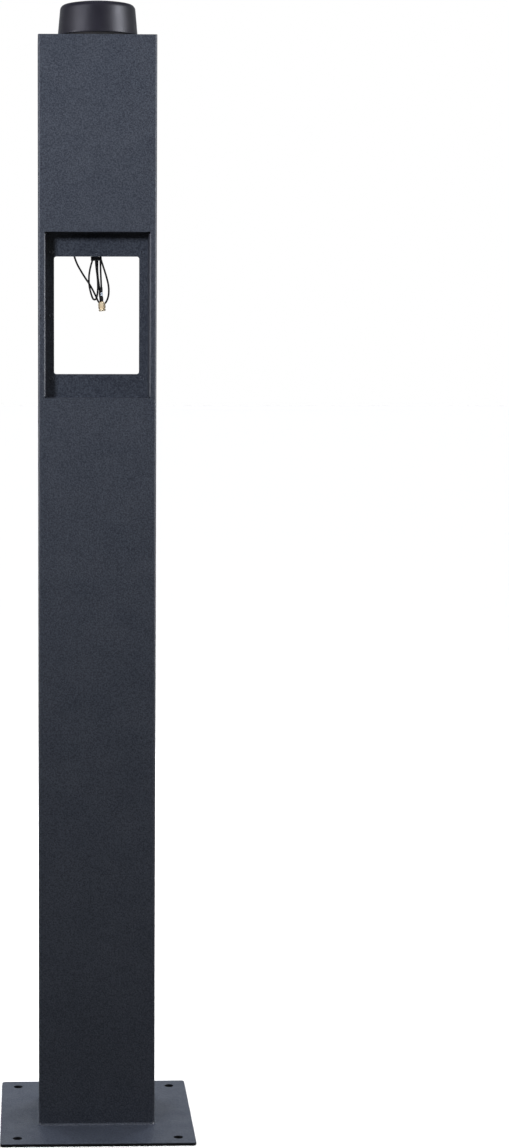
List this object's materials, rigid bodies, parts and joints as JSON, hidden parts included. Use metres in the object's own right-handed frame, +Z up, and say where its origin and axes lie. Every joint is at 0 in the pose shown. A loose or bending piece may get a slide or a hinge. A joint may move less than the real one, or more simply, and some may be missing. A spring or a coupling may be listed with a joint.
{
  "type": "ev charging post",
  "caption": "Free-standing sheet-steel charging post on a square base plate, with a recessed reader bay, a puck antenna on its head and a lockable rear door.",
  "frame": {"origin": "centre of the base plate's underside, which is the centre of its four anchor holes", "axes": "+Z up the post, -Y the front with the reader recess, +X to the right of someone facing the front"},
  "size_m": [0.25, 0.3225, 1.451],
  "materials": {
    "post_paint": "fine-textured anthracite powder coat, satin",
    "antenna_plastic": "black moulded plastic, fine satin grain",
    "foam_rubber": "closed-cell black foam",
    "stud_steel": "painted weld studs",
    "zinc_steel": "bright zinc plate",
    "lock_chrome": "polished chrome plate",
    "brass": "plain machined brass",
    "plug_gold": "gold-plated brass",
    "galvanised_sheet": "galvanised, faint spangle",
    "supply_aluminium": "mill-finish aluminium",
    "circuit_board": "green solder mask",
    "patch_ceramic": "fired ceramic with a silvered face",
    "potting_resin": "black resin",
    "black_plastic": "moulded black plastic",
    "white_plastic": "moulded light grey-white plastic",
    "toggle_plastic": "moulded black plastic",
    "grey_plastic": "moulded grey plastic",
    "earth_green": "moulded green plastic with yellow",
    "lead_sheath": "black cable sheath, soft satin",
    "tie_tape": "black tape",
    "shrink_sleeve": "shrunk black sleeve",
    "marker_sleeve": "pale blue-white sleeve, blank"
  },
  "bodies": {
    "post": {"base_plate": "post_paint", "base_weld": "post_paint", "post_shell": "post_paint", "top_plate": "post_paint", "recess_tray": "post_paint", "hinge_fixed_knuckles": "post_paint", "lock_strikes": "post_paint", "reader_studs": "stud_steel", "gear_studs": "stud_steel", "antenna_radome": "antenna_plastic", "antenna_base": "antenna_plastic", "antenna_board": "circuit_board", "supply_board": "circuit_board", "antenna_patch": "patch_ceramic", "antenna_gasket": "foam_rubber", "stem_washer": "zinc_steel", "stem_nut": "zinc_steel", "stem_potting": "potting_resin", "hinge_pins": "zinc_steel", "hinge_washers": "brass", "gear_plate": "galvanised_sheet", "gear_spacers": "zinc_steel", "gear_nuts": "zinc_steel", "supply_chassis": "supply_aluminium", "supply_cover": "supply_aluminium", "supply_terminals": "black_plastic", "supply_screws": "zinc_steel", "din_rail": "galvanised_sheet", "rail_screws": "zinc_steel", "breaker_body": "white_plastic", "breaker_screws": "zinc_steel", "terminals": "grey_plastic", "end_stops": "grey_plastic", "earth_terminal": "earth_green", "cable_clamp": "black_plastic", "clamp_screws": "zinc_steel", "earth_stud": "brass", "earth_nuts": "brass", "earth_washers": "brass", "long_lead": "lead_sheath", "short_lead": "lead_sheath", "lead_tie": "tie_tape", "lead_boots": "shrink_sleeve", "lead_marker": "marker_sleeve", "plug_bodies": "plug_gold", "coupling_nuts": "plug_gold"},
    "rear_door": {"rear_door": "post_paint", "door_gasket": "foam_rubber", "hinge_door_leaves": "post_paint", "lock_housings": "lock_chrome", "lock_nuts": "zinc_steel", "door_earth_stud": "brass", "door_earth_nut": "brass"},
    "upper_lock": {"upper_lock_barrel": "lock_chrome", "upper_lock_cam": "zinc_steel", "upper_cam_screw": "zinc_steel"},
    "lower_lock": {"lower_lock_barrel": "lock_chrome", "lower_lock_cam": "zinc_steel", "lower_cam_screw": "zinc_steel"},
    "breaker_toggle": {"breaker_toggle": "toggle_plastic"}
  },
  "joints": [
    {"name": "door_hinge", "type": "hinge", "parent": "post", "child": "rear_door", "pos_m": [-0.0705, 0.061, 1.016], "axis": [0, 0, 1], "range_deg": [-90, 90]},
    {"name": "upper_lock_turn", "type": "hinge", "parent": "rear_door", "child": "upper_lock", "pos_m": [-0.06, 0.1725, 1.251], "axis": [1, 0, 0], "range_deg": [0, 90]},
    {"name": "lower_lock_turn", "type": "hinge", "parent": "rear_door", "child": "lower_lock", "pos_m": [-0.06, 0.1725, 0.781], "axis": [1, 0, 0], "range_deg": [0, 90]},
    {"name": "breaker_switch", "type": "hinge", "parent": "post", "child": "breaker_toggle", "pos_m": [-0.036, 0.0135, 0.765], "axis": [1, 0, 0], "range_deg": [0, 80]}
  ]
}
